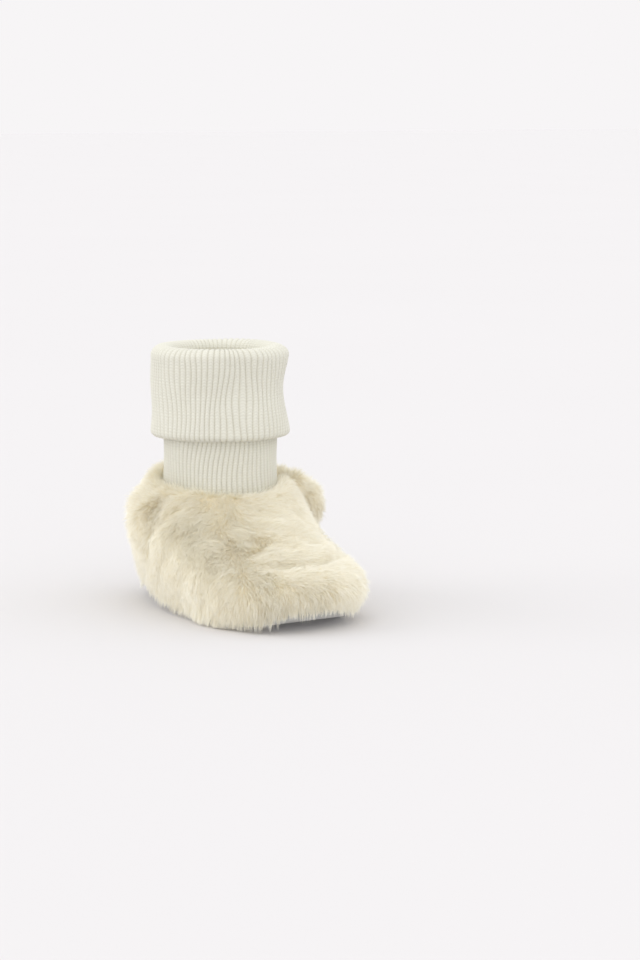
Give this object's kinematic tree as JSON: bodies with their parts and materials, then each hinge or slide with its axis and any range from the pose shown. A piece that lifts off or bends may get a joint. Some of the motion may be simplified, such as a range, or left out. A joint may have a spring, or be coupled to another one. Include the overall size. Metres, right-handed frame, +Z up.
{
  "type": "baby bootie",
  "caption": "Soft baby bootie with a plush upper on a thin suede sole, a double rib-knit ankle tube and a turned-down cuff that folds up.",
  "frame": {"origin": "on the floor under the middle of the bootie's box", "axes": "+Z up, the toe towards -Y, the heel towards +Y, +X across the foot"},
  "size_m": [0.0764, 0.1168, 0.1],
  "materials": {
    "plush": "long soft cream pile, combed down and outwards",
    "rib_knit": "cream cotton rib knit, matt",
    "rib_inside": "cream cotton knit, finer ribs",
    "lining": "brushed cotton jersey",
    "wadding": "lofted polyester wadding",
    "thread": "sewing thread, matt",
    "suede": "pale grey nubuck, matt nap"
  },
  "bodies": {
    "shell": {"outsole": "suede", "sole_stitching": "thread", "sole_padding": "wadding", "insole": "lining", "vamp_lining": "lining", "quarter_lining": "lining", "vamp_fur": "plush", "quarter_fur": "plush", "left_side_seam": "thread", "right_side_seam": "thread", "collar_seam": "thread"},
    "ankle": {"ankle_rib_inner": "rib_inside", "ankle_rib_outer": "rib_knit", "rib_back_seam": "thread"},
    "cuff": {"cuff_under": "rib_knit", "cuff_face": "rib_knit"}
  },
  "joints": [
    {"name": "ankle_bend", "type": "hinge", "parent": "shell", "child": "ankle", "pos_m": [0, 0.018, 0.0463], "axis": [1, 0, 0], "range_deg": [-12, 12], "stiffness_Nm_per_rad": 0.03},
    {"name": "cuff_turn", "type": "slide", "parent": "ankle", "child": "cuff", "axis": [0, 0, 1], "range_m": [0, 0.03]}
  ]
}
